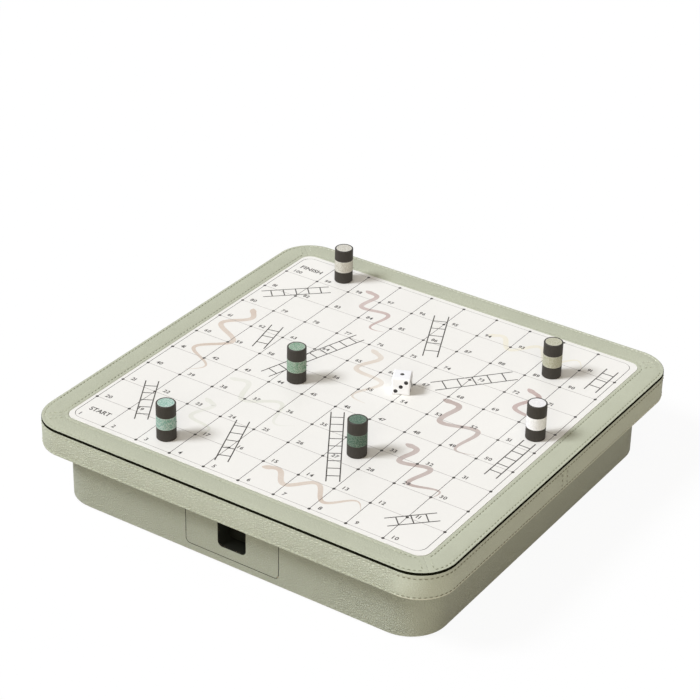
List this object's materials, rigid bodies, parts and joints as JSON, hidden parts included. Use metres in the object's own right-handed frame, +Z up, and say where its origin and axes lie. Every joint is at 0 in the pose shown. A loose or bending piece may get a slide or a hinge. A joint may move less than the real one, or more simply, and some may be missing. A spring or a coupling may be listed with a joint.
{
  "type": "snakes and ladders board",
  "caption": "Square leather-covered snakes and ladders board on a rounded base with a pull-out drawer, with banded cylinder counters and a die standing on its printed panel.",
  "frame": {"origin": "middle of the felt's underside, on the table", "axes": "+Z up out of the playing panel; the drawer opens towards -Y; +X along the drawer side from the first square to the tenth"},
  "size_m": [0.4, 0.4, 0.112],
  "materials": {
    "leather": "sage, fine grain, stitched",
    "panel": "printed, matt",
    "wood": "plain birch, hidden",
    "felt": "pressed felt",
    "steel": "zinc plated",
    "dark_wood": "dark stained, matt",
    "die_white": "polished",
    "die_black": "paint filled",
    "mint_leather": "speckled, matt",
    "bone_leather": "speckled, matt",
    "green_leather": "speckled, matt",
    "forest_leather": "speckled, matt",
    "olive_leather": "speckled, matt",
    "white_leather": "speckled, matt"
  },
  "bodies": {
    "board": {"frame_front": "leather", "frame_right": "leather", "frame_back": "leather", "frame_left": "leather", "edge_band": "leather", "underside_leather": "leather", "base_wrap": "leather", "playing_panel": "panel", "top_core": "wood", "base_plate": "wood", "corner_posts": "wood", "left_wall": "wood", "right_wall": "wood", "back_wall": "wood", "front_wall_left": "wood", "front_wall_right": "wood", "top_cleats": "wood", "drawer_guide_left": "wood", "drawer_guide_right": "wood", "drawer_stop": "wood", "drawer_catch": "wood", "base_felt": "felt", "wood_screws": "steel"},
    "drawer": {"drawer_front": "wood", "drawer_facing": "leather", "drawer_side_left": "wood", "drawer_side_right": "wood", "drawer_back": "wood", "drawer_bottom": "wood", "drawer_lining": "felt"},
    "mint_counter": {"mint_foot": "dark_wood", "mint_ring": "mint_leather", "mint_cap": "dark_wood", "mint_disc": "mint_leather"},
    "bone_counter": {"bone_foot": "dark_wood", "bone_ring": "bone_leather", "bone_cap": "dark_wood", "bone_disc": "bone_leather"},
    "green_counter": {"green_foot": "dark_wood", "green_ring": "green_leather", "green_cap": "dark_wood", "green_disc": "green_leather"},
    "forest_counter": {"forest_foot": "dark_wood", "forest_ring": "forest_leather", "forest_cap": "dark_wood", "forest_disc": "forest_leather"},
    "olive_counter": {"olive_foot": "dark_wood", "olive_ring": "olive_leather", "olive_cap": "dark_wood", "olive_disc": "olive_leather"},
    "white_counter": {"white_foot": "dark_wood", "white_ring": "white_leather", "white_cap": "dark_wood", "white_disc": "white_leather"},
    "die": {"die_body": "die_white", "die_pips": "die_black"}
  },
  "joints": [
    {"name": "drawer_slide", "type": "slide", "parent": "board", "child": "drawer", "axis": [0, -1, 0], "range_m": [0, 0.154]},
    {"name": "mint_counter_lift", "type": "slide", "parent": "board", "child": "mint_counter", "axis": [0, 0, 1], "range_m": [0, 0.06]},
    {"name": "bone_counter_lift", "type": "slide", "parent": "board", "child": "bone_counter", "axis": [0, 0, 1], "range_m": [0, 0.06]},
    {"name": "green_counter_lift", "type": "slide", "parent": "board", "child": "green_counter", "axis": [0, 0, 1], "range_m": [0, 0.06]},
    {"name": "forest_counter_lift", "type": "slide", "parent": "board", "child": "forest_counter", "axis": [0, 0, 1], "range_m": [0, 0.06]},
    {"name": "olive_counter_lift", "type": "slide", "parent": "board", "child": "olive_counter", "axis": [0, 0, 1], "range_m": [0, 0.06]},
    {"name": "white_counter_lift", "type": "slide", "parent": "board", "child": "white_counter", "axis": [0, 0, 1], "range_m": [0, 0.06]},
    {"name": "die_lift", "type": "slide", "parent": "board", "child": "die", "axis": [0, 0, 1], "range_m": [0, 0.06]}
  ]
}
